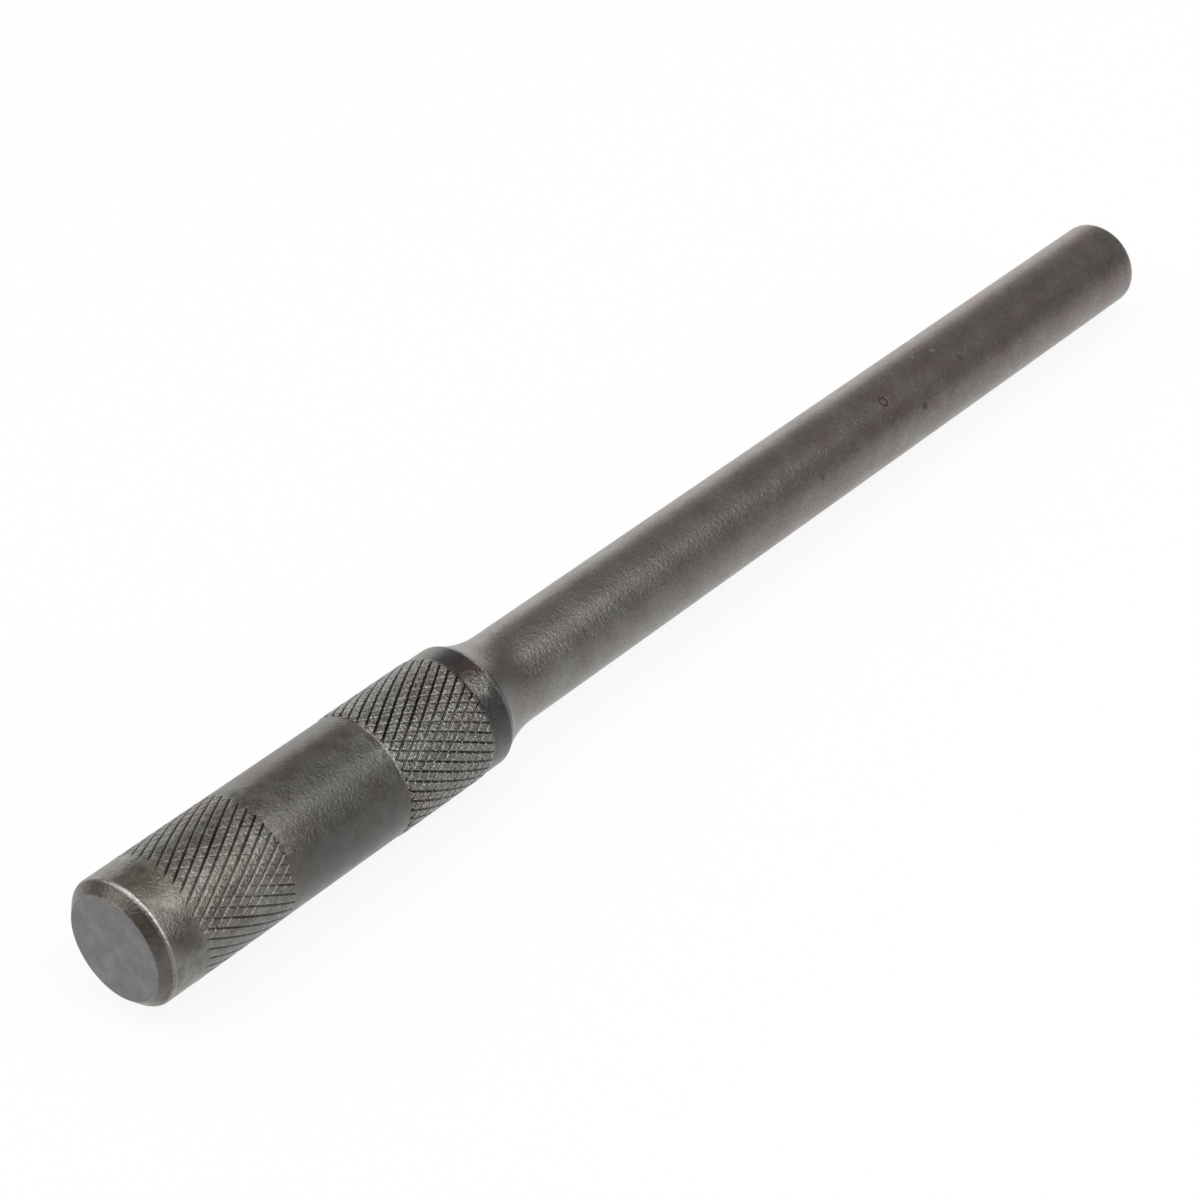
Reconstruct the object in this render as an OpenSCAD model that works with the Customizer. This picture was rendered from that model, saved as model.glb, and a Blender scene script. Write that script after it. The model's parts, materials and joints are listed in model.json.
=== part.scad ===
// Pin punch, turned and ground from one bar of tool steel. Millimetres.
// The axis lies along +X, from the centre of the struck face (the origin) to the tip of the pin.
// Nothing on the tool comes apart: head, knurled grip, cove and pin are one solid.

/* [Body] */
// Diameter of the plain bar that the body keeps
body_d = 12.7; // [11.5:0.1:20]
// Length of the whole punch, from the struck face to the end of the pin
overall_len = 152.4; // [100:0.1:250]

/* [Struck end] */
// Width of the 45 degree bevel round the struck face
head_bevel = 1.1; // [0.3:0.1:3]
// Plain length from the struck face to the first knurled band, bevel included
head_len = 4.4; // [3.2:0.1:20]

/* [Knurled grip] */
// Width of one knurled band, which is the width of the knurling wheel
band_w = 11.2; // [4:0.1:16]
// Plain length between the two bands
band_gap = 15.1; // [2:0.1:30]
// Distance from one groove to the next, measured square to the grooves
knurl_pitch = 0.91; // [0.8:0.01:2.4]
// Angle between the grooves and the axis of the punch
knurl_angle = 30; // [20:1:45]
// Width of a groove at the top of the lands
groove_w = 0.27; // [0.1:0.01:0.5]
// Depth of a groove below the lands beside it
groove_depth = 0.18; // [0.05:0.01:0.4]
// Height that the lands of the first band, the lightly rolled one, stand above the plain bar
first_rise = 0.03; // [0.01:0.01:0.3]
// Height that the lands of the second band stand above the plain bar
second_rise = 0.12; // [0.01:0.01:0.3]

/* [Shoulder] */
// Plain length from the second band to the end of the full diameter
collar_len = 2.5; // [0.5:0.1:15]
// Radius that softens the outer edge of the shoulder
shoulder_r = 0.5; // [0.1:0.1:2]
// Radius of the hollow cove that runs down to the pin
cove_r = 12; // [2:0.5:30]

/* [Pin] */
// Diameter of the pin
pin_d = 9.525; // [3:0.005:11]
// Radius of the broken edge at the end of the pin
tip_r = 0.6; // [0.1:0.1:1.4]

/* [Hidden] */
$fn = 180;

steel = "#4b4947";
body_r = body_d / 2;
pin_r = pin_d / 2;

// Stations along the axis
band_starts = [head_len, head_len + band_w + band_gap];
body_len = band_starts[1] + band_w + collar_len;
// The shoulder round and the cove touch, and each is tangent to the surface beside it
drop = body_r - pin_r;
blend_r = shoulder_r + cove_r;
cove_len = sqrt(drop * (2 * blend_r - drop));
pin_start = body_len + cove_len;

// The knurl has a whole number of grooves round the bar and of half diamonds along the band
starts = round(PI * body_d * cos(knurl_angle) / knurl_pitch);
half_turn = 180 / starts;
half_diamond = PI * body_r / starts / tan(knurl_angle);
rows = max(2, round(band_w / half_diamond));
row_step = band_w / rows;
land_share = 1 - groove_w / knurl_pitch;
// The lands start just inside the plain bar at both ends of a band, and the bar closes the grooves
skin = 0.02;
edge_r = body_r - skin;
// Solid bar that runs on below the deepest grooves
core_depth = 0.3;
core_r = body_r + min(first_rise, second_rise) - groove_depth - core_depth;
// The plain bar laps this far over each end of a band, so that the two are joined by overlap
lap = 0.05;

// Point on a cylinder along Z, from its radius, angle and height
function on_bar(r, angle, z) = [r * cos(angle), r * sin(angle), z];

// Point of the knurl, at a row and at a place round the bar that is counted in half diamonds
function knurl_point(r, row, place) = on_bar(r, place * half_turn, row * row_step);

// Half of the outline of the bar, with the radius along X and the axis along Y
module bar_outline() {
    blend_centre = [body_r - shoulder_r, body_len];
    cove_centre = [pin_r + cove_r, pin_start];
    touch = blend_centre + (cove_centre - blend_centre) * shoulder_r / blend_r;
    polygon([
        [0, 0], [body_r - head_bevel, 0], [body_r, head_bevel], [body_r, body_len], [0, body_len]
    ]);
    translate(blend_centre) circle(shoulder_r);
    difference() {
        polygon([[0, body_len], blend_centre, touch, [touch.x, pin_start], [0, pin_start]]);
        translate(cove_centre) circle(cove_r);
    }
    polygon([
        [0, pin_start], [pin_r, pin_start], [pin_r, overall_len - tip_r],
        [pin_r - tip_r, overall_len], [0, overall_len]
    ]);
    translate([pin_r - tip_r, overall_len - tip_r]) circle(tip_r);
}

// The turned bar, necked below each band so that the knurl alone makes the surface there
module turned_bar() {
    rotate_extrude()
        difference() {
            bar_outline();
            for (start = band_starts)
                translate([core_r, start + lap]) square([body_d, band_w - 2 * lap]);
        }
}

// One diamond-knurled band along Z. Two hands of V grooves cross at the nodes of a staggered grid.
// Every mesh of the grid holds a flat-topped land with four corners: two round the bar (low, high)
// and two along it (back, front). The walls of the grooves join each land to the crossings round it.
// The lands stand by rise above the plain bar. Where runs_out is true, the grooves end shallow in
// the first row, and otherwise they keep their depth up to both ends of the band.
module knurl_band(rise, runs_out) {
    land_r = body_r + rise;
    groove_r = land_r - groove_depth;
    first_r = runs_out ? edge_r : groove_r;
    crossings = [
        for (i = [0:rows], m = [0:starts - 1])
            knurl_point(i == 0 ? first_r : groove_r, i, 2 * m + i % 2)
    ];
    lows = [
        for (i = [0:rows], m = [0:starts - 1])
            knurl_point(i == 0 || i == rows ? edge_r : land_r, i, 2 * m + 1 + i % 2 - land_share)
    ];
    highs = [
        for (i = [0:rows], m = [0:starts - 1])
            knurl_point(i == 0 || i == rows ? edge_r : land_r, i, 2 * m + 1 + i % 2 + land_share)
    ];
    backs = [
        for (i = [1:rows], m = [0:starts - 1]) knurl_point(land_r, i - land_share, 2 * m + 1 + i % 2)
    ];
    fronts = [
        for (i = [0:rows - 1], m = [0:starts - 1])
            knurl_point(land_r, i + land_share, 2 * m + 1 + i % 2)
    ];

    // Place of a point in the list of points, from its row and its number round the bar
    function at(first, i, m) = first + i * starts + (m + starts) % starts;
    function crossing(i, m) = at(0, i, m);
    function low(i, m) = at(len(crossings), i, m);
    function high(i, m) = at(len(crossings) * 2, i, m);
    function back(i, m) = at(len(crossings) * 3, i - 1, m);
    function front(i, m) = at(len(crossings) * 3 + len(backs), i, m);

    walls = [
        for (i = [0:rows - 1], m = [0:starts - 1])
            let (
                here = crossing(i, m),
                up_high = crossing(i + 1, m + i % 2),
                up_low = crossing(i + 1, m + i % 2 - 1),
                ahead = m + i % 2 - 1
            )
            each [
                [here, up_high, front(i, m)],
                [here, front(i, m), low(i, m)],
                [up_high, here, back(i + 1, ahead)],
                [up_high, back(i + 1, ahead), high(i + 1, ahead)],
                [up_low, here, high(i, m - 1)],
                [up_low, high(i, m - 1), front(i, m - 1)],
                [here, up_low, low(i + 1, ahead)],
                [here, low(i + 1, ahead), back(i + 1, ahead)]
            ]
    ];
    lands = [
        for (i = [1:rows - 1], m = [0:starts - 1])
            each [
                [back(i, m), low(i, m), front(i, m)],
                [front(i, m), high(i, m), back(i, m)]
            ]
    ];
    half_lands = [
        for (m = [0:starts - 1])
            each [
                [low(0, m), front(0, m), high(0, m)],
                [high(rows, m), back(rows, m), low(rows, m)]
            ]
    ];
    first_face = [for (m = [0:starts - 1]) each [crossing(0, m), low(0, m), high(0, m)]];
    last_face = [
        for (m = [starts - 1:-1:0]) each [high(rows, m), low(rows, m), crossing(rows, m)]
    ];
    polyhedron(
        points = concat(crossings, lows, highs, backs, fronts),
        faces = concat(walls, lands, half_lands, [first_face, last_face])
    );
}

module punch() {
    color(steel)
        rotate([0, 90, 0]) {
            turned_bar();
            translate([0, 0, band_starts[0]]) knurl_band(first_rise, runs_out = true);
            translate([0, 0, band_starts[1]]) knurl_band(second_rise, runs_out = false);
        }
}

punch();
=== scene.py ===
"""Pin punch: the blackened, knurled and blasted steel bar of the measured frame, on a pale floor.

The punch lies along X, from the centre of the struck face to the end of the pin, and up is Z.
Angles round the bar are counted from +Z towards -Y, and every length is in metres.
"""

import json
import math
from typing import NamedTuple

import bpy
import numpy as np
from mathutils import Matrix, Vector


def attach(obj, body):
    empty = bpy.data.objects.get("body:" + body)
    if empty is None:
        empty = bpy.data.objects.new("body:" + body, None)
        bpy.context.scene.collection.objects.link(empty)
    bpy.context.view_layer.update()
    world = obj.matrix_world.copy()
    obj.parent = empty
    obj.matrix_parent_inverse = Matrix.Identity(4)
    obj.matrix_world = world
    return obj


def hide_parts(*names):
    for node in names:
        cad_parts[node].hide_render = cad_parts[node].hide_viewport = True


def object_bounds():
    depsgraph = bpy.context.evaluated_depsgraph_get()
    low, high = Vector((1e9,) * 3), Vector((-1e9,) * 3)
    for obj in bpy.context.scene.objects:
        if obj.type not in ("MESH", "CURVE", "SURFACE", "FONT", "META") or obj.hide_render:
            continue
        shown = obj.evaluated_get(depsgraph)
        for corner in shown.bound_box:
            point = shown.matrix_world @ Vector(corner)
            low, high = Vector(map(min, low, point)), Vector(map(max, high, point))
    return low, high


bl_info = {
    "name": "Pin Punch",
    "version": (1, 0, 0),
    "blender": (4, 5, 0),
    "location": "3D View > Sidebar > Punch",
    "description": "Builds a knurled steel pin punch and a plain studio stage for it",
    "category": "Add Mesh",
}

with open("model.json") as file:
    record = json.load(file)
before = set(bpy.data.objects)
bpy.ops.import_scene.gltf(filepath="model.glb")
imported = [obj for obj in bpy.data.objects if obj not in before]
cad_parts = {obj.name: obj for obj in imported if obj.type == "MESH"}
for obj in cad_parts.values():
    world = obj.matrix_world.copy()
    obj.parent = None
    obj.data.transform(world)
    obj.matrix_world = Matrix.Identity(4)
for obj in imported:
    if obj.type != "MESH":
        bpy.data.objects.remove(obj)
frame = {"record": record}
CAD_LOW, CAD_HIGH = np.array(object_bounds())

MM = 0.001
# The bar may stand this far out of the measured box
ROOM_OUTSIDE = 0.1 * MM
DRIVE_PIN = next(m for m in frame["record"]["mounts"] if m["name"] == "drive_pin")
PIN_RADIUS = DRIVE_PIN["dims"]["r_mm"] * MM

# Half of the outline of a groove: its places, as shares of the spacing of the grooves, are the
# bottom, the top of the wall, the rolled rim, the edge of the land and its middle. The hand rubs
# the rim most.
GROOVE_PLACES = np.array([0, 0.11, 0.19, 0.3, 0.5])
GROOVE_DEPTHS = np.array([1, 0.26, 0.04, 0, 0])
GROOVE_WEAR = np.array([0, 0.3, 1, 0.4, 0])
# The columns of the mesh stand at these places between one groove and the next
PHASES = np.concatenate([GROOVE_PLACES, 1 - GROOVE_PLACES[3:0:-1]])
# Faces that meet at more than this angle are not shaded into one another
SHARP_ANGLE = math.radians(27)
# The plain rings stop this far from a band, and the band's own rings close the gap
BAND_GAP = 0.05 * MM
# The lands of a band rise over this length at its ends
LAND_SLOPE = 0.3 * MM
# The grooves that fade in start this share of the run out before the band
EARLY_FADE = 0.15
# The least and the most that a groove was pressed in, as shares of its depth
PRESS_RANGE = (0.84, 1.05)
# Each hand of the knurl was pressed lightly on one side of the bar: the middle and the spread of
# that side, for the one hand and the other
LIGHT_SIDES = (
    (math.radians(112), math.radians(38)),
    (math.radians(18), math.radians(64)),
)
# The lands are rough where the grooves have dropped less than this share of their depth
ROUGH_BELOW = 0.5
# The wear and the painted highlight of an edge end this far beyond its rounding
EDGE_FADE = 0.07 * MM
# The wear of each edge all round the bar, and a painted highlight on the side lit by the key light
HEAD_WEAR_AND_HIGHLIGHT = (0.32, 0.45)
SHOULDER_WEAR_AND_HIGHLIGHT = (0.05, 0.6)
TIP_WEAR = (0.45, 0)
# The middle of that side, and the spread of its painted highlight round the bar
EDGE_HIGHLIGHT_AT = math.radians(30)
EDGE_HIGHLIGHT_WIDTH = math.radians(28)
# The flat rings of the struck face start here, and stop this far inside its edge
FACE_START = 1.2 * MM
FACE_MARGIN = 0.4 * MM
# The innermost ring of the end of the pin
END_CENTRE = 0.5 * MM
# The straight rings of the pin stop this far from the cove and from the broken edge
PIN_MARGIN = 4 * MM
# A face of the mesh nearer than this to the end of the bar lies in the struck face
FACE_DEPTH = 0.06 * MM
# Two places on the bar that are nearer than this are one
SAME_PLACE = 1e-7
# Half of the side of the floor, and the middle of the body, which the lamps light
FLOOR_HALF = 3.0
BODY_MIDDLE = Vector((30 * MM, 0, 0))
# The width of the camera's sensor, in millimetres, and the nearest that the camera shows
SENSOR_MM = 36
NEAREST_SEEN = 10 * MM

# Spots on the steel, in millimetres: the centre, and the radii at which they are full and gone
# A rough patch by the shoulder, with thin oxide and light specks: the roughness of the run out, and
# a painted highlight where the key light falls
BARED_AND_HIGHLIT_SPOT = ((43.2, -3.5, 5.3), 0.95, 1.9)
THICK_HEAD_SPOT = ((3, -5.6, 2.9), 1.3, 2.6)
# Painted shade low on the near side of the plain body, in the thick oxide's colour
PAINTED_SHADE_MIDDLE_SPOT = ((23.5, -6.6, 0.6), 6, 12)
BROWN_HEAD_SPOT = ((2.5, -0.8, 6.3), 1.3, 2.6)
BROWN_COLLAR_SPOT = ((43.8, -2.0, 6.0), 0.75, 1.5)
# The largest pit is a ring round an island of its own
PIT_SPOT = ((107.8, -2.44, 4.09), 0.5, 0.68)
ISLAND_SPOT = ((107.8, -2.44, 4.09), 0.26, 0.42)
# Smaller pits and nicks of the pin: a spot as above, and how strong it is
PITS = (
    ((112.7, -4.32, 2.01), 0.2, 0.6, 0.9),
    ((94.9, -4.32, 2.0), 0.1, 0.45, 0.8),
    ((120.7, -3.07, 3.64), 0.1, 0.4, 0.7),
)
NICKS = (
    ((115.9, -0.19, 4.76), 0.1, 0.3, 0.55),
    ((118.5, -0.91, 4.68), 0.1, 0.35, 0.5),
)

# The places of the materials in the mesh
BODY_SLOT, PIN_SLOT, FACE_SLOT = range(3)

# Settings of the nodes that multiply numbers, take the larger of two and mix colours
TIMES = {"operation": "MULTIPLY"}
LARGER = {"operation": "MAXIMUM"}
COLOURS = {"data_type": "RGBA"}


def linear(hex_colour, alpha=1.0):
    """Turns an sRGB hex colour into the linear RGBA that the sockets take."""
    srgb = np.array([int(hex_colour[i:i + 2], 16) for i in (1, 3, 5)]) / 255
    rgb = np.where(srgb <= 0.04045, srgb / 12.92, ((srgb + 0.055) / 1.055) ** 2.4)
    return (*rgb.tolist(), alpha)


def smooth(t):
    """Goes from 0 to 1 with level ends as t goes from 0 to 1: three t squared less two t cubed."""
    t = np.clip(t, 0, 1)
    return t * t * (3 - 2 * t)


def length_value(name, description, millimetres, low, high):
    """A length that the sidebar shows, with its default and its range in millimetres."""
    return bpy.props.FloatProperty(
        name=name,
        description=description,
        default=millimetres * MM,
        min=low * MM,
        max=high * MM,
        precision=5,
        step=0.01,
        unit="LENGTH",
        subtype="DISTANCE",
    )


def colour_value(name, description, hex_colour):
    """A colour that the sidebar shows."""
    return bpy.props.FloatVectorProperty(
        name=name,
        description=description,
        default=linear(hex_colour),
        min=0,
        max=1,
        size=4,
        subtype="COLOR",
    )


def share_value(name, description, default):
    """A share from 0 to 1 that the sidebar shows."""
    return bpy.props.FloatProperty(
        name=name, description=description, default=default, min=0, max=1, subtype="FACTOR"
    )


def level_value(name, description, default):
    """A brightness of a lamp's face that the sidebar shows."""
    return bpy.props.FloatProperty(
        name=name, description=description, default=default, min=0, max=10
    )


class PunchSizes(bpy.types.PropertyGroup):
    """The sizes of the bar, from the struck face to the tip."""

    body_radius: length_value("Body radius", "Radius of the plain body", 6.35, 5.5, 10)
    overall: length_value("Length", "Whole length of the punch", CAD_HIGH[0] / MM, 100, 250)
    pin_radius: length_value("Pin radius", "Radius of the ground pin", PIN_RADIUS / MM, 1.5, 5.5)
    bevel: length_value("Bevel", "Width of the bevel round the struck face", 1.1, 0.3, 3)
    face_round: length_value("Face edge", "Radius of the edge of the struck face", 0.16, 0.02, 0.5)
    bevel_round: length_value("Bevel edge", "Radius of the outer edge of the bevel", 0.5, 0.02, 0.8)
    dimple_radius: length_value(
        "Dimple", "Radius of the dimple left at the centre of the face", 0.45, 0.1, 1
    )
    dimple_depth: length_value("Dimple depth", "Depth of that dimple", 0.05, 0, 0.3)
    first_band: length_value(
        "First band", "Distance from the face to the first knurled band", 4.4, 3, 20
    )
    second_band: length_value(
        "Second band", "Distance from the face to the second band", 30.7, 20, 60
    )
    band_width: length_value("Band width", "Width of a knurled band", 11.2, 4, 16)
    shoulder_at: length_value(
        "Shoulder", "Distance from the face to the end of the full body", 44.4, 30, 80
    )
    shoulder_round: length_value(
        "Shoulder edge", "Radius of the outer edge of the shoulder", 0.5, 0.1, 2
    )
    cove_radius: length_value("Cove", "Radius of the hollow cove", 12, 2, 30)
    tip_round: length_value("Tip edge", "Radius of the broken edge of the pin", 0.6, 0.1, 1.4)
    first_depth: length_value("First depth", "Depth of the first band's grooves", 0.112, 0.05, 0.4)
    second_depth: length_value(
        "Second depth", "Depth of the second band's grooves", 0.122, 0.05, 0.4
    )
    land_rough: length_value("Land roughness", "Unevenness of the rolled lands", 0.006, 0, 0.05)
    first_rise: length_value(
        "First rise", "Height of the first band's lands above the bar", 0.018, 0, 0.3
    )
    second_rise: length_value(
        "Second rise", "Height of the second band's lands above the bar", 0.1, 0, 0.3
    )
    run_out: length_value("Run out", "Length over which the first grooves fade in", 1.2, 0.1, 4)
    starts: bpy.props.IntProperty(
        name="Starts", description="Grooves of one hand round the bar", default=38, min=12, max=80
    )
    half_rows: bpy.props.IntProperty(
        name="Half rows", description="Half diamonds along a band", default=12, min=2, max=40
    )


class PunchFinish(bpy.types.PropertyGroup):
    """The colours and the wear of the steel."""

    oxide_dark: colour_value("Oxide, dark", "Black oxide, darker clouds", "#696761")
    oxide_light: colour_value("Oxide, light", "Black oxide, lighter clouds", "#898880")
    # Also the colour of the painted shade under the bands, on their far side and on the plain body
    oxide_thick_and_shade: colour_value("Oxide, thick", "Blue-black oxide of the collar", "#504f52")
    oxide_brown: colour_value("Oxide, brown", "Brown bloom in the oxide", "#614f47")
    groove_black: colour_value("Groove", "Scale and oil left in the grooves", "#2a2826")
    # Also the colour of the painted highlights on the edges and on the patch by the shoulder
    bare_and_highlight: colour_value("Bare steel", "Steel where the oxide has worn off", "#c4c5c8")
    pin_dark: colour_value("Pin, dark", "Blasted pin, darker patches", "#767370")
    pin_light: colour_value("Pin, light", "Blasted pin, lighter patches", "#878782")
    pin_brown: colour_value("Pin, brown", "Brown tint of the thin oxide on the pin", "#7e6f69")
    pit: colour_value("Pit", "Bottom of a pit in the pin", "#3a3835")
    face: colour_value("Struck face", "Faced end under thin oxide", "#6d6c6d")
    # Scales the edges' wear and their painted highlight
    worn: share_value("Wear", "How far the edges are rubbed bright", 0.75)
    floor: colour_value("Floor", "Matt white floor board", "#f4f4f3")


class PunchStudio(bpy.types.PropertyGroup):
    """The camera and the lights."""

    camera_place: bpy.props.FloatVectorProperty(
        name="Camera",
        description="Where the camera stands",
        default=(-148.27 * MM, -177.07 * MM, 197.19 * MM),
        unit="LENGTH",
        subtype="TRANSLATION",
    )
    camera_aim: bpy.props.FloatVectorProperty(
        name="Aim",
        description="The point that the camera looks at",
        default=(66.1 * MM, 1.07 * MM, 0),
        unit="LENGTH",
        subtype="TRANSLATION",
    )
    lens_mm: bpy.props.FloatProperty(
        name="Lens",
        description=f"Focal length on a {SENSOR_MM} mm sensor",
        default=105.42,
        min=10,
        max=300,
    )
    room: colour_value("Room", "Light of the room round the stage", "#9a9692")
    key_level: level_value("Key", "Brightness of the face of the key softbox", 2.1)
    top_level: level_value("Top", "Brightness of the face of the panel overhead", 2.8)
    fill_level: level_value("Fill", "Brightness of the face of the fill panel", 3.1)
    left_level: level_value("Left", "Brightness of the face of the high panel on the left", 1.6)
    back_level: level_value("Back", "Brightness of the face of the low panel behind", 1.5)


def rounded(corners, radii, steps):
    """Rounds the corners of an open outline: at each inner corner an arc touches both sides.

    The arc starts where a tangent of length radius times the tangent of half the turn leaves the
    corner, and its points divide the turn evenly. A point stands a little before and after each
    arc, where the wear and painted highlight of the edge end. Returns the points and, for each, 1
    on an arc.
    """
    points = [corners[0]]
    on_arc = [0.0]
    for before, corner, after, radius in zip(corners, corners[1:], corners[2:], radii):
        into = (corner - before) / np.linalg.norm(corner - before)
        out = (after - corner) / np.linalg.norm(after - corner)
        turn = math.acos(np.clip(into @ out, -1, 1))
        start = corner - into * radius * math.tan(turn / 2)
        inward = out - into * (into @ out)
        inward /= np.linalg.norm(inward)
        angle = np.linspace(0, turn, steps)[:, None]
        arc = start + radius * (np.sin(angle) * into + (1 - np.cos(angle)) * inward)
        points.extend([arc[0] - EDGE_FADE * into, *arc, arc[-1] + EDGE_FADE * out])
        on_arc.extend([0.0, *[1.0] * steps, 0.0])
    points.append(corners[-1])
    on_arc.append(0.0)
    return np.array(points), np.array(on_arc)


def edge_wear_and_highlight(rings_before, on_edge, rings_after, wear_and_highlight):
    """The wear and painted highlight of an outline's rings: some unmarked rings, those of an edge,
    and unmarked ones again.
    """
    worn = np.concatenate([np.zeros(rings_before), on_edge, np.zeros(rings_after)])
    return worn[:, None] * wear_and_highlight


def head_outline(sizes):
    """Outline of the struck end, as points (along, out): dimple, face, bevel and bar.

    The dimple is a cosine bowl: its depth times half of one plus the cosine of a half turn's share,
    which is the share of the dimple's radius. The face runs from there to the bevel.
    """
    share = np.linspace(0.2, 1, 5)
    bowl = np.column_stack([
        sizes.dimple_depth * 0.5 * (1 + np.cos(math.pi * share)),
        sizes.dimple_radius * share,
    ])
    face_end = sizes.body_radius - sizes.bevel - FACE_MARGIN
    face = np.column_stack([np.zeros(4), np.linspace(FACE_START, face_end, 4)])
    corners = np.array([
        face[-1],
        [0, sizes.body_radius - sizes.bevel],
        [sizes.bevel, sizes.body_radius],
        [sizes.first_band, sizes.body_radius],
    ])
    edge, on_arc = rounded(corners, [sizes.face_round, sizes.bevel_round], steps=6)
    outline = np.vstack([bowl, face[:-1], edge])
    return outline, edge_wear_and_highlight(len(outline) - len(edge), on_arc, 0, HEAD_WEAR_AND_HIGHLIGHT)


def plain_outline(start, end, radius, gap, rings):
    """Straight outline between two places, which starts and ends a gap away from them."""
    along = np.linspace(start + gap, end - gap, rings)
    return np.column_stack([along, np.full(rings, radius)])


def shoulder_outline(sizes):
    """Outline of the collar, the shoulder's rounded edge and the hollow cove down to the pin.

    The edge is an arc round a centre one edge radius inside the bar. The cove is an arc round a
    centre one cove radius outside the pin, placed so that the two arcs touch. Returns the outline,
    its wear and the ring at which the cove starts.
    """
    blend = sizes.shoulder_round + sizes.cove_radius
    drop = sizes.body_radius - sizes.pin_radius
    pin_start = sizes.shoulder_at + math.sqrt(drop * (2 * blend - drop))
    edge_centre = np.array([sizes.shoulder_at, sizes.body_radius - sizes.shoulder_round])
    cove_centre = np.array([pin_start, sizes.pin_radius + sizes.cove_radius])
    lean = math.atan2(*(cove_centre - edge_centre)[::-1])
    band_end = sizes.second_band + sizes.band_width
    collar = plain_outline(
        band_end, sizes.shoulder_at, sizes.body_radius, gap=BAND_GAP, rings=5
    )
    collar[-1, 0] = sizes.shoulder_at - EDGE_FADE
    edge_angle = np.linspace(math.pi / 2, lean, 6)[:, None]
    edge = edge_centre + sizes.shoulder_round * np.hstack([np.cos(edge_angle), np.sin(edge_angle)])
    cove_angle = np.linspace(lean + math.pi, 1.5 * math.pi, 16)[1:, None]
    cove = cove_centre + sizes.cove_radius * np.hstack([np.cos(cove_angle), np.sin(cove_angle)])
    wear_and_highlight = edge_wear_and_highlight(len(collar), np.ones(len(edge)), len(cove), SHOULDER_WEAR_AND_HIGHLIGHT)
    return np.vstack([collar, edge, cove]), wear_and_highlight, len(collar) + len(edge)


def pin_outline(sizes, start):
    """Outline of the pin, its broken edge and its flat end."""
    end = sizes.overall - 2 * sizes.tip_round
    straight = plain_outline(start, end, sizes.pin_radius, gap=PIN_MARGIN, rings=12)
    corners = np.array([
        straight[-1],
        [sizes.overall, sizes.pin_radius],
        [sizes.overall, sizes.pin_radius - 2 * sizes.tip_round],
    ])
    edge, on_arc = rounded(corners, [sizes.tip_round], steps=7)
    flat_out = np.linspace(sizes.pin_radius - 3 * sizes.tip_round, END_CENTRE, 3)
    flat = np.column_stack([np.full(3, sizes.overall), flat_out])
    wear_and_highlight = edge_wear_and_highlight(len(straight) - 1, on_arc, len(flat), TIP_WEAR)
    return np.vstack([straight[:-1], edge, flat]), wear_and_highlight


def turned(outline, wear_and_highlight, angles):
    """Carries an outline round the bar: one ring for each point of it, one column for each angle.

    The wear of a ring is a number for all round it, and its painted highlight is one for the side
    lit by the key light, which fades round the bar as a bell curve of the angle.
    """
    rings = np.broadcast_to(outline[:, None, :], (len(outline), len(angles), 2))
    grid = np.dstack([rings[..., 0], rings[..., 1], np.broadcast_to(angles, rings.shape[:2])])
    marks = np.zeros((*grid.shape[:2], 2))
    # Painted highlight: extra bare colour on the side of the edges lit by the key light
    marks[..., 1] = wear_and_highlight[:, :1] + wear_and_highlight[:, 1:] * round_bar(angles, EDGE_HIGHLIGHT_AT, EDGE_HIGHLIGHT_WIDTH, 2)
    return grid, marks


def round_bar(angle, centre, width, power):
    """A bell curve of the angle round the bar: 1 at the centre, which fades over the width.

    A higher power, which is even, makes the top of the bell flatter and its sides steeper.
    """
    away = (angle - centre + math.pi) % (2 * math.pi) - math.pi
    return np.exp(-(away / width) ** power)


def lattice_place(number):
    """Place of a mesh line among the grooves. The bottoms are at the whole numbers."""
    return number // len(PHASES) + PHASES[number % len(PHASES)]


class Band(NamedTuple):
    """A knurled band: where it starts, how high its lands stand and how deep its grooves are.

    missing is the share of the depth that each hand of the grooves lacks on its light side,
    rim_wear how far the rims are rubbed, and fades_in says that the grooves start shallow.
    """

    start: float
    rise: float
    depth: float
    missing: tuple
    rim_wear: float
    fades_in: bool
    seed: int


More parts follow.
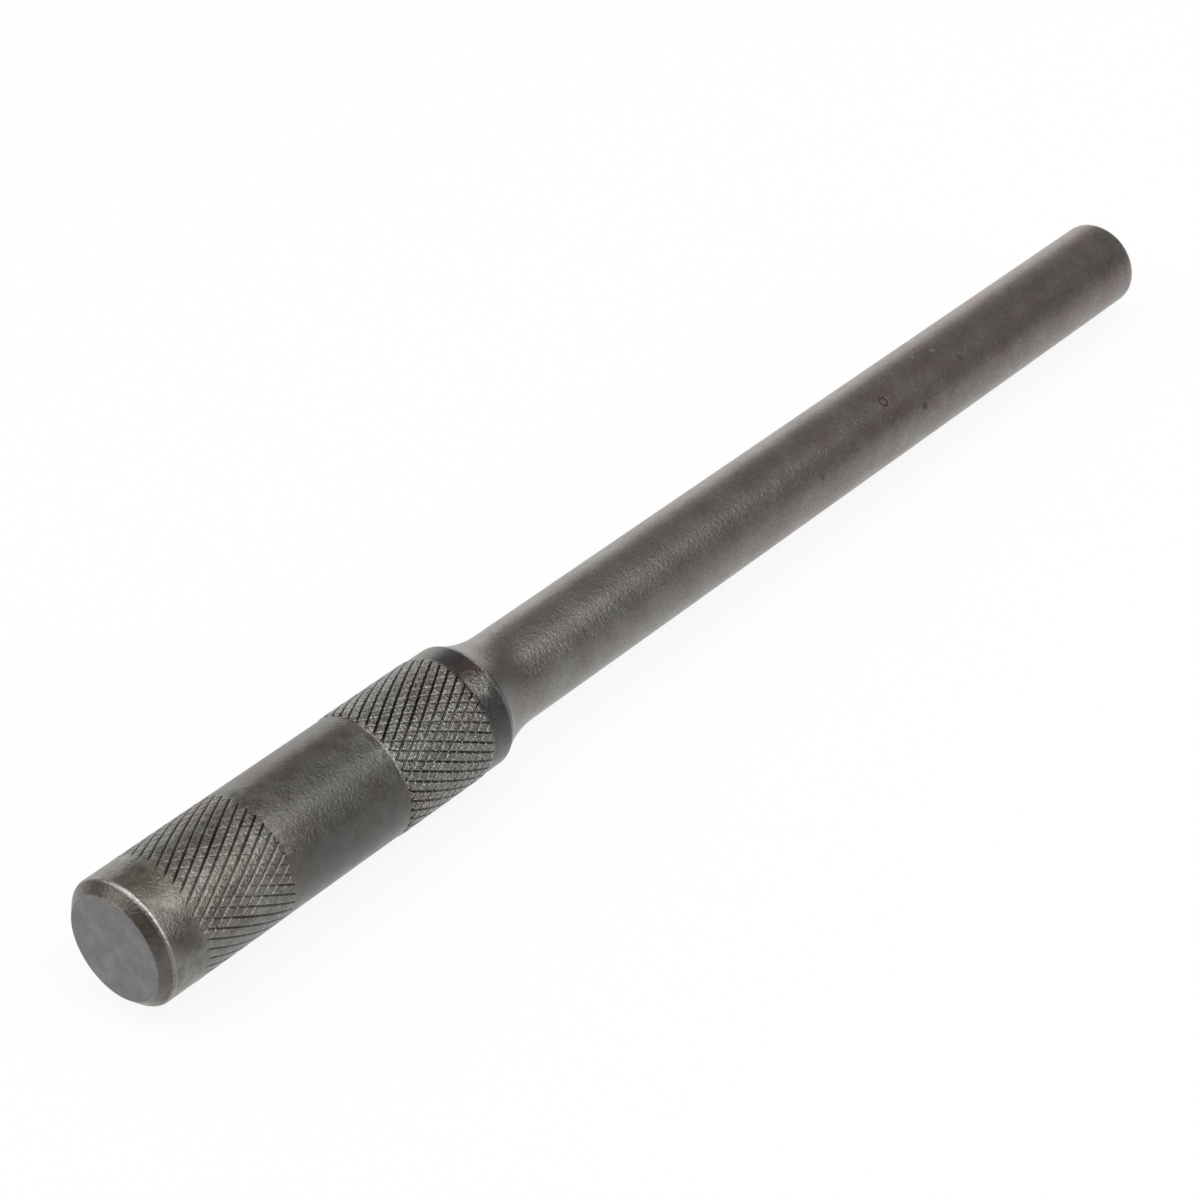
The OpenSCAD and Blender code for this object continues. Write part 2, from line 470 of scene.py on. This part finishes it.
def knurl_grid(sizes, band, turn):
    """One band of diamond knurl, on a grid whose lines follow the grooves of both hands.

    A vertex has a place a among the grooves of one hand and b among those of the other. Half of
    their sum is its place round the bar, and their difference its place along it. The outline of a
    groove gives each hand a drop at the distance from its nearest bottom, times the press of that
    groove and of its side of the bar, and the deeper drop wins. The lands rise over a short slope
    at both ends of the band and are rough, and the grooves of a band that fades in reach their
    depth along the run out. The wear follows the rims of the grooves and stops where another
    crosses.
    """
    phases = len(PHASES)
    column, row = np.meshgrid(
        np.arange(sizes.starts * phases), np.arange(sizes.half_rows * phases + 1)
    )
    one_hand = lattice_place(column)
    other_hand = lattice_place(column - row)
    along = (one_hand - other_hand) * sizes.band_width / sizes.half_rows
    angle = (one_hand + other_hand) * math.pi / sizes.starts + turn
    random = np.random.default_rng(band.seed)
    press = random.uniform(*PRESS_RANGE, (2, sizes.starts))
    drop, rim = np.zeros((2, *along.shape))
    for hand, place in enumerate((one_hand, other_hand)):
        groove = np.round(place).astype(int) % sizes.starts
        from_groove = np.abs(place - np.round(place))
        light_side = round_bar(angle, *LIGHT_SIDES[hand], 4)
        pressed = press[hand][groove] * (1 - band.missing[hand] * light_side)
        hand_drop = np.interp(from_groove, GROOVE_PLACES, GROOVE_DEPTHS) * pressed
        hand_rim = np.interp(from_groove, GROOVE_PLACES, GROOVE_WEAR) * np.sqrt(pressed)
        drop = np.maximum(drop, hand_drop)
        rim = np.maximum(rim, hand_rim)
    land = smooth(np.minimum(along, sizes.band_width - along) / LAND_SLOPE)
    rough = random.uniform(-1, 0, along.shape) * sizes.land_rough * (drop < ROUGH_BELOW)
    if band.fades_in:
        fade = smooth((along / sizes.run_out + EARLY_FADE) / (1 + EARLY_FADE))
    else:
        fade = np.ones(along.shape)
    radius = sizes.body_radius + land * (band.rise + rough) - drop * fade * band.depth
    marks = np.zeros((*along.shape, 2))
    marks[..., 0] = drop * fade
    marks[..., 1] = rim * np.clip(1 - drop, 0, 1) * fade * land * band.rim_wear
    return np.dstack([band.start + along, radius, angle]), marks


def closed_faces(rings, columns, split):
    """Faces between neighbouring rings, and fans to a pole at each end, all facing outwards.

    A square between two rings is cut along its diagonal where split says so for the lower ring.
    """
    ring, column = np.meshgrid(np.arange(rings - 1), np.arange(columns), indexing="ij")
    following = (column + 1) % columns
    square = np.stack([
        ring * columns + column,
        ring * columns + following,
        (ring + 1) * columns + following,
        (ring + 1) * columns + column,
    ], axis=-1)
    squares = square[~split].reshape(-1, 4)
    halves = square[split].reshape(-1, 4)
    first, last = rings * columns, rings * columns + 1
    around = np.arange(columns)
    onward = (around + 1) % columns
    face_fan = np.column_stack([np.full(columns, first), onward, around])
    base = (rings - 1) * columns
    tip_fan = np.column_stack([np.full(columns, last), base + around, base + onward])
    triangles = np.vstack([halves[:, [0, 1, 2]], halves[:, [0, 2, 3]], face_fan, tip_fan])
    return squares, triangles


def bar_surface(sizes):
    """The whole bar as one closed surface: a grid of rings from the struck face to the tip.

    Every ring has the same columns. A band turns its columns by half of its number of half rows,
    and the rings behind it go on from there. Returns the vertices, the squares, the triangles, the
    two marks of each vertex (groove, and wear with painted highlight) and the ring at which the
    cove starts.
    """
    columns = sizes.starts * len(PHASES)
    angles = lattice_place(np.arange(columns)) * 2 * math.pi / sizes.starts
    twist = -sizes.half_rows * math.pi / sizes.starts
    band_end = sizes.first_band + sizes.band_width
    head, head_wear_and_highlight = head_outline(sizes)
    middle = plain_outline(
        band_end, sizes.second_band, sizes.body_radius, gap=BAND_GAP, rings=14
    )
    shoulder, shoulder_wear_and_highlight, cove_ring = shoulder_outline(sizes)
    pin, pin_wear = pin_outline(sizes, shoulder[-1][0])
    first_band = Band(
        start=sizes.first_band, rise=sizes.first_rise, depth=sizes.first_depth,
        missing=(0.85, 0.79), rim_wear=0.12, fades_in=True, seed=11,
    )
    second_band = Band(
        start=sizes.second_band, rise=sizes.second_rise, depth=sizes.second_depth,
        missing=(0.35, 0.6), rim_wear=0.18, fades_in=False, seed=12,
    )
    # The last ring of the head is the first ring of the first band
    parts = [
        turned(head[:-1], head_wear_and_highlight[:-1], angles),
        knurl_grid(sizes, first_band, 0),
        turned(middle, np.zeros((len(middle), 2)), angles + twist),
        knurl_grid(sizes, second_band, twist),
        turned(
            np.vstack([shoulder, pin]), np.vstack([shoulder_wear_and_highlight, pin_wear]), angles + 2 * twist
        ),
    ]
    rows_before = np.cumsum([0] + [len(grid) for grid, _ in parts])
    grid = np.vstack([g for g, _ in parts])
    marks = np.vstack([m for _, m in parts])
    split = np.zeros(len(grid) - 1, bool)
    split[rows_before[1]:rows_before[2] - 1] = True
    split[rows_before[3]:rows_before[4] - 1] = True
    along, radius, angle = np.moveaxis(grid, -1, 0)
    surface = np.dstack([along, -radius * np.sin(angle), radius * np.cos(angle)]).reshape(-1, 3)
    poles = np.array([[sizes.dimple_depth, 0, 0], [sizes.overall, 0, 0]])
    squares, triangles = closed_faces(len(grid), columns, split)
    marks = np.vstack([marks.reshape(-1, 2), np.zeros((2, 2))])
    return np.vstack([surface, poles]), squares, triangles, marks, rows_before[4] + cove_ring


def make_piece(name, vertices, squares, triangles):
    """Puts worked-out vertices and faces into a new object at the origin, shaded smooth."""
    mesh = bpy.data.meshes.new(name)
    mesh.from_pydata(vertices.tolist(), [], squares.tolist() + triangles.tolist())
    mesh.polygons.foreach_set("use_smooth", np.ones(len(mesh.polygons), bool))
    mesh.update()
    piece = bpy.data.objects.new(name, mesh)
    bpy.context.scene.collection.objects.link(piece)
    return piece


def set_mark(mesh, name, values):
    """Stores one number for each vertex, for the materials to read."""
    mark = mesh.attributes.new(name, "FLOAT", "POINT")
    mark.data.foreach_set("value", np.ascontiguousarray(values, np.float32))


def share_out_materials(mesh, cove_start, face_radius):
    """Gives each face of the mesh its material, by how far its centre is along and out."""
    centres = np.zeros(len(mesh.polygons) * 3)
    mesh.polygons.foreach_get("center", centres)
    centres = centres.reshape(-1, 3)
    along, out = centres[:, 0], np.linalg.norm(centres[:, 1:], axis=1)
    slots = np.full(len(centres), BODY_SLOT, np.int32)
    slots[along > cove_start - SAME_PLACE] = PIN_SLOT
    slots[(along < FACE_DEPTH) & (out < face_radius)] = FACE_SLOT
    mesh.polygons.foreach_set("material_index", slots)


def add(tree, kind, settings, *values, out=None, **named):
    """Adds one node and returns an output of it: the one named out, or else the first in use.

    settings are its properties. values go to the sockets in use, in their order, and named ones to
    the sockets of that name, with an underscore for a space. Each is a constant or a link.
    """
    node = tree.nodes.new("ShaderNode" + kind)
    for key, value in settings.items():
        setattr(node, key, value)
    in_use = [socket for socket in node.inputs if socket.enabled]
    pairs = list(zip(in_use, values))
    pairs += [(node.inputs[key.replace("_", " ")], value) for key, value in named.items()]
    for socket, value in pairs:
        if isinstance(value, bpy.types.NodeSocket):
            tree.links.new(value, socket)
        else:
            socket.default_value = value
    if out:
        return node.outputs[out]
    return next((socket for socket in node.outputs if socket.enabled), None)


def new_material(name):
    """An empty node material with its tree, and the place on the object that its patterns read."""
    material = bpy.data.materials.new(name)
    material.use_nodes = True
    tree = material.node_tree
    tree.nodes.clear()
    return material, tree, add(tree, "TexCoord", {}, out="Object")


def strongest(tree, *layers):
    """The strongest of some layers at every place. A layer is a pattern and its share there."""
    top = None
    for pattern, share in layers:
        layer = add(tree, "Math", TIMES, pattern, share)
        top = add(tree, "Math", LARGER, top, layer) if top else layer
    return top


def stretch(tree, along, start, end, fade):
    """1 between two distances along the bar, and 0 beyond a fade either side of them."""
    begun = add(tree, "MapRange", {}, along, start - fade, start)
    left = add(tree, "MapRange", {}, along, end, end + fade, 1.0, 0.0)
    return add(tree, "Math", TIMES, begun, left)


def spot(tree, place, centre, inner, outer):
    """A soft round spot: 1 within inner of the centre and 0 beyond outer, all in millimetres."""
    centre = [value * MM for value in centre]
    away = add(tree, "VectorMath", {"operation": "DISTANCE"}, place, centre)
    return add(tree, "MapRange", {}, away, inner * MM, outer * MM, 1.0, 0.0)


def marked(tree, place, spots):
    """The layers of a list of spots, each with its strength."""
    return [(spot(tree, place, *where), strength) for *where, strength in spots]


def bumps(tree, *layers):
    """The normal after some layers of bumps. A layer is a height from 0 to 1 and its full size."""
    normal = None
    for height, size in layers:
        below = {"Normal": normal} if normal else {}
        normal = add(tree, "Bump", {}, Strength=1.0, Distance=size, Height=height, **below)
    return normal


def black_oxide(finish, sizes):
    """Hot black oxide over rolled and turned tool steel: dark, satin and mottled.

    The oxide is a dark skin on metal, so it mirrors the room dimly and pales at a glancing look. It
    is thick and blue-black on the front of the collar and on the bevel, black in the grooves and
    rubbed grey on the edges. Painted shade darkens it under the bands, on the far side of the bands
    and of the plain body, and low on the near side of the plain body. A painted highlight lightens
    the collar towards its far side and underside, a patch by the shoulder, and the edges on the
    side lit by the key light. The knurling wheel left the bands rough, and the tops of that
    roughness glint.
    """
    material, tree, place = new_material("black_oxide_on_rolled_tool_steel")
    along = add(tree, "SeparateXYZ", {}, place, out="X")
    across = add(tree, "SeparateXYZ", {}, place, out="Y")
    height = add(tree, "SeparateXYZ", {}, place, out="Z")
    wear_and_highlight = add(tree, "Attribute", {"attribute_name": "wear_and_highlight"}, out="Fac")
    groove = add(tree, "Attribute", {"attribute_name": "groove"}, out="Fac")
    # The oxide bath leaves clouds from 1 to 6 mm wide
    patch = add(tree, "TexNoise", {}, place, 1 / (6 * MM), 2.0, 0.5)
    cloud = add(tree, "TexNoise", {}, place, 1 / (2.2 * MM), 3.0, 0.6)
    mottle = add(tree, "TexNoise", {}, place, 1 / (1.1 * MM), 3.0, 0.6)
    # The grain of rolled steel is about 0.05 mm, drawn at 0.2 and 0.34 mm so that it shows
    grain = add(tree, "TexNoise", {}, place, 1 / (0.34 * MM), 3.0, 0.6)
    grit = add(tree, "TexNoise", {}, place, 1 / (0.2 * MM), 2.0, 0.6)

    # Where each finish lies on the body
    first_end = sizes.first_band + sizes.band_width
    second_end = sizes.second_band + sizes.band_width
    bevel = stretch(tree, along, 0, sizes.bevel - 0.1 * MM, 0.1 * MM)
    first = stretch(
        tree, along, sizes.first_band + 0.7 * sizes.run_out, first_end - 0.3 * MM, 0.5 * MM
    )
    plain = stretch(tree, along, first_end, sizes.second_band, 0.2 * MM)
    second = stretch(tree, along, sizes.second_band, second_end, 0.3 * MM)
    collar = stretch(
        tree, along, second_end + 0.15 * MM, sizes.shoulder_at + 1 * MM, 0.3 * MM
    )
    # 1 on the far side of the bar: painted shade on the bands and plain body, less oxide on the
    #                               collar
    far_side = add(tree, "MapRange", {}, across, 0.5 * MM, 4 * MM)
    # Rough patch by the shoulder, lightened as a painted highlight where the key light falls
    bared_and_highlit_patch = spot(tree, place, *BARED_AND_HIGHLIT_SPOT)
    rough = strongest(tree, (second, 1.0), (first, 0.4), (bared_and_highlit_patch, 0.7))

    # The oxide: thick on the front of the collar and in patches, plus painted shade in that colour
    # The collar's oxide thins towards its far side and its underside: a painted highlight on its
    # rims
    front = add(tree, "MapRange", {}, height, -2.5 * MM, 2.2 * MM, 0.4, 1.0)
    front = add(tree, "Math", TIMES, front, add(tree, "MapRange", {}, far_side, 0.0, 1.0, 1.0, 0.1))
    unbared_and_unlit = add(tree, "MapRange", {}, bared_and_highlit_patch, 0.0, 1.0, 0.95, 0.25)
    # Painted shade: the bands darken towards their underside in the thick oxide's colour
    painted_shade_below = add(tree, "MapRange", {}, height, 0.5 * MM, -4 * MM)
    share = add(tree, "Mix", {"data_type": "FLOAT"}, 0.4, cloud, mottle)
    share = add(tree, "Mix", {"data_type": "FLOAT"}, 0.3, share, grain)
    share = add(tree, "MapRange", {}, share, 0.4, 0.6)
    oxide = add(tree, "Mix", COLOURS, share, finish.oxide_dark, finish.oxide_light)
    thick_and_painted_shade = strongest(
        tree,
        (collar, add(tree, "Math", TIMES, front, unbared_and_unlit)),
        (first, add(tree, "Math", TIMES, painted_shade_below, 0.9)),
        (second, add(tree, "Math", TIMES, painted_shade_below, 0.65)),
        (bevel, add(tree, "MapRange", {}, mottle, 0.38, 0.6, 0.0, 0.6)),
        (spot(tree, place, *THICK_HEAD_SPOT), 0.5),
        # Painted shade low on the near side of the plain body
        (
            spot(tree, place, *PAINTED_SHADE_MIDDLE_SPOT),
            add(tree, "MapRange", {}, cloud, 0.3, 0.6, 0.35, 0.7),
        ),
        # Painted shade on the far side of the bands and of the plain body
        (first, add(tree, "MapRange", {}, far_side, 0.0, 1.0, 0.0, 0.5)),
        (second, add(tree, "MapRange", {}, far_side, 0.0, 1.0, 0.2, 0.6)),
        (plain, add(tree, "MapRange", {}, far_side, 0.0, 1.0, 0.0, 0.75)),
    )
    thick_and_painted_shade = add(tree, "Math", TIMES, thick_and_painted_shade, add(tree, "MapRange", {}, grain, 0.25, 0.5, 0.7, 1.0))
    oxide = add(tree, "Mix", COLOURS, thick_and_painted_shade, oxide, finish.oxide_thick_and_shade)

    # The brown bloom, in clouds, on the bevel and in two spots
    brown = strongest(
        tree,
        (
            add(tree, "MapRange", {}, patch, 0.5, 0.68, 0.0, 0.6),
            add(tree, "MapRange", {}, grain, 0.35, 0.6),
        ),
        (
            spot(tree, place, *BROWN_HEAD_SPOT),
            add(tree, "MapRange", {}, mottle, 0.3, 0.6, 0.05, 0.3),
        ),
        (bevel, add(tree, "MapRange", {}, grain, 0.42, 0.56, 0.0, 0.5)),
        (
            spot(tree, place, *BROWN_COLLAR_SPOT),
            add(tree, "MapRange", {}, mottle, 0.3, 0.6, 0.3, 0.9),
        ),
    )
    oxide = add(tree, "Mix", COLOURS, brown, oxide, finish.oxide_brown)

    # Bare steel on the edges (wear and painted highlight) and the rough tops; black in the grooves
    rubbed_and_highlit = add(tree, "Math", TIMES, wear_and_highlight, finish.worn)
    rubbed_and_highlit = add(tree, "Math", TIMES, rubbed_and_highlit, add(tree, "MapRange", {}, grain, 0.3, 0.5))
    oxide = add(tree, "Mix", COLOURS, rubbed_and_highlit, oxide, finish.bare_and_highlight)
    speck = add(tree, "MapRange", {}, grit, 0.56, 0.62)
    speck = add(tree, "Math", TIMES, speck, add(tree, "MapRange", {}, grain, 0.46, 0.56, 0.1, 1.0))
    speck = add(tree, "Math", TIMES, speck, rough)
    speck = add(tree, "Math", TIMES, speck, add(tree, "MapRange", {}, wear_and_highlight, 0.0, 0.15, 0.75, 1.0))
    oxide = add(tree, "Mix", COLOURS, speck, oxide, finish.bare_and_highlight)
    black = add(tree, "MapRange", {}, groove, 0.2, 0.9, 0.0, 0.65)
    colour = add(tree, "Mix", COLOURS, black, oxide, finish.groove_black)

    # Bumps, which are weaker in the grooves and on the turned parts
    open_land = add(tree, "MapRange", {}, groove, 0.1, 0.6, 1.0, 0.2)
    bumpy = add(tree, "MapRange", {}, rough, 0.0, 1.0, 0.35, 1.0)
    bumpy = add(tree, "Math", TIMES, bumpy, open_land)
    fine = add(tree, "Math", TIMES, grit, bumpy)
    coarse = add(tree, "Math", TIMES, grain, bumpy)
    satin = add(tree, "MapRange", {}, cloud, 0.3, 0.7, 0.3, 0.38)
    satin = add(tree, "Math", TIMES, satin, add(tree, "MapRange", {}, rough, 0.0, 1.0, 1.0, 0.6))
    steel = add(
        tree, "BsdfPrincipled", {}, Base_Color=colour, Metallic=1.0, Roughness=satin,
        Normal=bumps(tree, (fine, 0.06 * MM), (coarse, 0.12 * MM)),
    )
    add(tree, "OutputMaterial", {}, steel)
    return material


def blasted_steel(finish, sizes):
    """Fine blasted and oxidised steel of the cove and pin: an even satin grey with a fine sparkle.

    The thin oxide is tinted brown in patches of about 2 mm, more so towards the tip, where the
    steel is scuffed. A few pits and nicks mark the pin.
    """
    material, tree, place = new_material("fine_blasted_oxidised_steel")
    along = add(tree, "SeparateXYZ", {}, place, out="X")
    wear_and_highlight = add(tree, "Attribute", {"attribute_name": "wear_and_highlight"}, out="Fac")
    cloud = add(tree, "TexNoise", {}, place, 1 / (5 * MM), 3.0, 0.6)
    tint = add(tree, "TexNoise", {}, place, 1 / (1.8 * MM), 4.0, 0.65)
    # The blast leaves pits of about 0.05 mm, drawn at 0.16 and 0.36 mm so that they show
    grain = add(tree, "TexNoise", {}, place, 1 / (0.36 * MM), 3.0, 0.6)
    grit = add(tree, "TexNoise", {}, place, 1 / (0.16 * MM), 2.0, 0.6)

    share = add(tree, "MapRange", {}, cloud, 0.35, 0.65)
    colour = add(tree, "Mix", COLOURS, share, finish.pin_dark, finish.pin_light)
    browner = add(tree, "MapRange", {}, along, 60 * MM, 110 * MM, 0.3, 1.0)
    patches = add(tree, "MapRange", {}, tint, 0.38, 0.64)
    browner = add(tree, "Math", TIMES, browner, patches)
    colour = add(tree, "Mix", COLOURS, browner, colour, finish.pin_brown)
    sparkle = add(tree, "MapRange", {}, grit, 0.5, 0.7, 0.0, 0.28)
    colour = add(tree, "Mix", COLOURS, sparkle, colour, finish.bare_and_highlight)
    tip = stretch(tree, along, sizes.overall - 0.6 * MM, sizes.overall, 1 * MM)
    scuffed = strongest(
        tree,
        (wear_and_highlight, add(tree, "MapRange", {}, cloud, 0.35, 0.6, 0.3, 1.0)),
        (tip, add(tree, "MapRange", {}, tint, 0.4, 0.55, 0.0, 0.25)),
    )
    colour = add(tree, "Mix", COLOURS, scuffed, colour, finish.bare_and_highlight)

    # Pits, which are dark, and nicks, which are bare
    island = spot(tree, place, *ISLAND_SPOT)
    hollow = add(tree, "Math", {"operation": "SUBTRACT"}, 1.0, island)
    ring = (spot(tree, place, *PIT_SPOT), hollow)
    pits = strongest(tree, ring, *marked(tree, place, PITS))
    pitted = add(tree, "Math", TIMES, pits, 0.65)
    colour = add(tree, "Mix", COLOURS, pitted, colour, finish.pit)
    nicks = strongest(tree, *marked(tree, place, NICKS))
    colour = add(tree, "Mix", COLOURS, nicks, colour, finish.bare_and_highlight)
    steel = add(
        tree, "BsdfPrincipled", {}, Base_Color=colour, Metallic=1.0,
        Roughness=add(tree, "MapRange", {}, grain, 0.3, 0.7, 0.29, 0.37),
        Normal=bumps(tree, (grit, 0.022 * MM), (grain, 0.05 * MM), (pits, -0.025 * MM)),
    )
    add(tree, "OutputMaterial", {}, steel)
    return material


def faced_steel(finish):
    """Faced end of the bar under thin oxide: smoother than the body and faintly clouded.

    The tool left turning marks, which are rings round the centre that catch a little light. It fed
    0.1 mm a turn, and the rings are drawn 0.25 mm apart so that they show. The grain of 0.05 mm is
    drawn at 0.3 mm for the same reason.
    """
    material, tree, place = new_material("faced_steel_under_thin_oxide")
    flat = add(tree, "VectorMath", {"operation": "MULTIPLY"}, place, (0, 1, 1))
    from_centre = add(tree, "VectorMath", {"operation": "LENGTH"}, flat)
    rings = add(tree, "TexNoise", {"noise_dimensions": "1D"}, from_centre, 1 / (0.25 * MM), 2.0)
    grain = add(tree, "TexNoise", {}, place, 1 / (0.3 * MM), 3.0, 0.6)
    cloud = add(tree, "TexNoise", {}, place, 1 / (1.6 * MM), 3.0, 0.5)
    thin = add(tree, "MapRange", {}, cloud, 0.36, 0.64, 0.0, 0.13)
    thin = add(tree, "Math", LARGER, thin, add(tree, "MapRange", {}, grain, 0.45, 0.65, 0.0, 0.12))
    colour = add(tree, "Mix", COLOURS, thin, finish.face, finish.bare_and_highlight)
    steel = add(
        tree, "BsdfPrincipled", {}, Base_Color=colour, Metallic=1.0, Roughness=0.4,
        Normal=bumps(tree, (rings, 0.003 * MM), (grain, 0.02 * MM)),
    )
    add(tree, "OutputMaterial", {}, steel)
    return material


def floor_board(finish):
    """Matt white board that glows a little, so that it looks white and its shadows are thin.

    The camera sees most of the glow, and the mirroring steel sees all of it. For the steel it is
    white beside and behind the punch and dims towards the front, as on a board lit from behind.
    """
    material, tree, place = new_material("matt_white_board")
    across = add(tree, "SeparateXYZ", {}, place, out="Y")
    near = add(tree, "MapRange", {}, across, -20 * MM, -2 * MM, 0.74, 1.0)
    front = add(tree, "MapRange", {}, across, -150 * MM, -40 * MM, 0.75, 1.0)
    behind = add(tree, "MapRange", {}, across, 80 * MM, 300 * MM, 1.0, 0.85)
    level = add(tree, "Math", TIMES, add(tree, "Math", TIMES, front, near), behind)
    glossy = add(tree, "LightPath", {}, out="Is Glossy Ray")
    passing = add(tree, "LightPath", {}, out="Is Transmission Ray")
    seen = add(tree, "LightPath", {}, out="Is Camera Ray")
    mirrored = add(tree, "Math", LARGER, glossy, passing)
    share = strongest(tree, (mirrored, 1.0), (seen, 0.9))
    strength = add(tree, "MapRange", {}, mirrored, 0.0, 1.0, 1.0, level)
    board = add(tree, "BsdfDiffuse", {}, finish.floor)
    glow = add(tree, "Emission", {}, (1, 1, 1, 1), strength)
    add(tree, "OutputMaterial", {}, add(tree, "MixShader", {}, share, board, glow))
    return material


class PUNCH_OT_build_bar(bpy.types.Operator):
    """Build the punch: struck face, bevel, two knurled bands, shoulder, cove and pin, in one bar"""

    bl_idname = "punch.build_bar"
    bl_label = "Build bar"

    def execute(self, context):
        sizes, finish = context.scene.punch_sizes, context.scene.punch_finish
        bands = [
            edge + width
            for edge in (sizes.first_band, sizes.second_band)
            for width in (0, sizes.band_width)
        ]
        stations = [0, sizes.bevel, *bands, sizes.shoulder_at, sizes.overall]
        if min(np.diff(stations)) <= 0:
            raise ValueError("the parts of the bar don't follow one another: change the lengths")
        vertices, squares, triangles, marks, cove_ring = bar_surface(sizes)
        beyond = np.maximum(CAD_LOW - vertices.min(axis=0), vertices.max(axis=0) - CAD_HIGH)
        if beyond.max() > ROOM_OUTSIDE:
            raise ValueError("the bar stands out of its measured box: change the sizes")
        piece = make_piece("punch_bar", vertices, squares, triangles)
        mesh = piece.data
        set_mark(mesh, "groove", marks[:, 0])
        set_mark(mesh, "wear_and_highlight", marks[:, 1])
        mesh.materials.append(black_oxide(finish, sizes))
        mesh.materials.append(blasted_steel(finish, sizes))
        mesh.materials.append(faced_steel(finish))
        cove_start = vertices[cove_ring * sizes.starts * len(PHASES)][0]
        share_out_materials(mesh, cove_start, sizes.body_radius - sizes.bevel)
        mesh.set_sharp_from_angle(angle=SHARP_ANGLE)
        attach(piece, "root")
        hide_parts("punch")
        return {"FINISHED"}


class PUNCH_OT_set_stage(bpy.types.Operator):
    """Set the stage: a pale floor that the punch rests on, five soft lamps and the camera"""

    bl_idname = "punch.set_stage"
    bl_label = "Set stage"

    def execute(self, context):
        scene = context.scene
        self.lay_floor(scene)
        self.light(scene)
        self.place_camera(scene)
        scene.view_settings.view_transform = "Standard"
        return {"FINISHED"}

    def lay_floor(self, scene):
        """A wide flat square through the two places that the punch rests on: the end of its second
        band and the end of its pin. So it falls away a little towards the struck face.
        """
        sizes = scene.punch_sizes
        rest_at = sizes.second_band + sizes.band_width
        rest_radius = -CAD_LOW[2]
        slope = (rest_radius - sizes.pin_radius) / (sizes.overall - sizes.tip_round - rest_at)
        along, across = np.meshgrid([-FLOOR_HALF, FLOOR_HALF], [-FLOOR_HALF, FLOOR_HALF])
        height = -rest_radius + (along - rest_at) * slope
        corners = np.dstack([along, across, height]).reshape(-1, 3)
        floor = make_piece("floor", corners, np.array([[0, 1, 3, 2]]), np.zeros((0, 3), int))
        floor.data.materials.append(floor_board(scene.punch_finish))

    def light(self, scene):
        """A dim room with five soft lamps: a key and a fill on the camera's right, one overhead,
        one high on the left and a low one behind. Their directions are from the middle of the body.
        """
        studio = scene.punch_studio
        world = bpy.data.worlds.new("room")
        world.use_nodes = True
        tree = world.node_tree
        tree.nodes.clear()
        # The room dims towards the camera
        across = add(tree, "SeparateXYZ", {}, add(tree, "TexCoord", {}, out="Generated"), out="Y")
        dimmer = add(tree, "MapRange", {}, across, -0.6, 0.3, 0.78, 1.0)
        add(tree, "OutputWorld", {}, add(tree, "Background", {}, studio.room, dimmer))
        scene.world = world
        # Each lamp's direction and distance, and the width, height and brightness of its face
        lamps = (
            ("key_softbox", (0.375, -0.427, 0.82), 0.55, 0.23, 0.23, studio.key_level),
            ("top_panel", (0.02, 0.03, 1), 1.3, 0.75, 0.75, studio.top_level),
            ("fill_panel", (0.14, -0.8, 0.56), 1.3, 0.5, 1.3, studio.fill_level),
            ("left_panel", (-0.45, 0.45, 0.77), 1.6, 1.5, 1.5, studio.left_level),
            ("back_panel", (0.56, 0.8, 0.1), 1.8, 3.2, 0.6, studio.back_level),
        )
        for name, direction, distance, wide, high, brightness in lamps:
            lamp = bpy.data.lights.new(name, "AREA")
            lamp.shape = "RECTANGLE"
            lamp.size, lamp.size_y = wide, high
            # A matt face gives out its brightness times pi times its area
            lamp.energy = brightness * math.pi * wide * high
            holder = bpy.data.objects.new(name, lamp)
            towards = Vector(direction).normalized()
            holder.location = BODY_MIDDLE + towards * distance
            holder.rotation_euler = towards.to_track_quat("Z", "Y").to_euler()
            holder.visible_camera = False
            scene.collection.objects.link(holder)

    def place_camera(self, scene):
        """A long lens at the angle of the photograph."""
        studio = scene.punch_studio
        camera = bpy.data.cameras.new("camera")
        camera.lens = studio.lens_mm
        camera.sensor_width = SENSOR_MM
        camera.clip_start = NEAREST_SEEN
        holder = bpy.data.objects.new("camera", camera)
        place, aim = Vector(studio.camera_place), Vector(studio.camera_aim)
        if place == aim:
            raise ValueError("the camera stands at the point that it looks at: move one of them")
        holder.location = place
        holder.rotation_euler = (aim - place).to_track_quat("-Z", "Y").to_euler()
        scene.collection.objects.link(holder)
        scene.camera = holder


class VIEW3D_PT_punch(bpy.types.Panel):
    """Sidebar panel with the sizes, the finish and the buttons"""

    bl_label = "Pin Punch"
    bl_idname = "VIEW3D_PT_punch"
    bl_space_type = "VIEW_3D"
    bl_region_type = "UI"
    bl_category = "Punch"

    def draw(self, context):
        layout = self.layout
        scene = context.scene
        for group in (scene.punch_sizes, scene.punch_finish, scene.punch_studio):
            box = layout.box()
            for name in group.__annotations__:
                box.prop(group, name)
        for step in STEPS:
            layout.operator(step.bl_idname)


STEPS = (PUNCH_OT_build_bar, PUNCH_OT_set_stage)
CLASSES = (PunchSizes, PunchFinish, PunchStudio, *STEPS, VIEW3D_PT_punch)


def register():
    for cls in CLASSES:
        bpy.utils.register_class(cls)
    bpy.types.Scene.punch_sizes = bpy.props.PointerProperty(type=PunchSizes)
    bpy.types.Scene.punch_finish = bpy.props.PointerProperty(type=PunchFinish)
    bpy.types.Scene.punch_studio = bpy.props.PointerProperty(type=PunchStudio)


def unregister():
    del bpy.types.Scene.punch_studio
    del bpy.types.Scene.punch_finish
    del bpy.types.Scene.punch_sizes
    for cls in reversed(CLASSES):
        bpy.utils.unregister_class(cls)


def main():
    register()
    bpy.ops.punch.build_bar()
    bpy.ops.punch.set_stage()


if __name__ == "__main__":
    main()
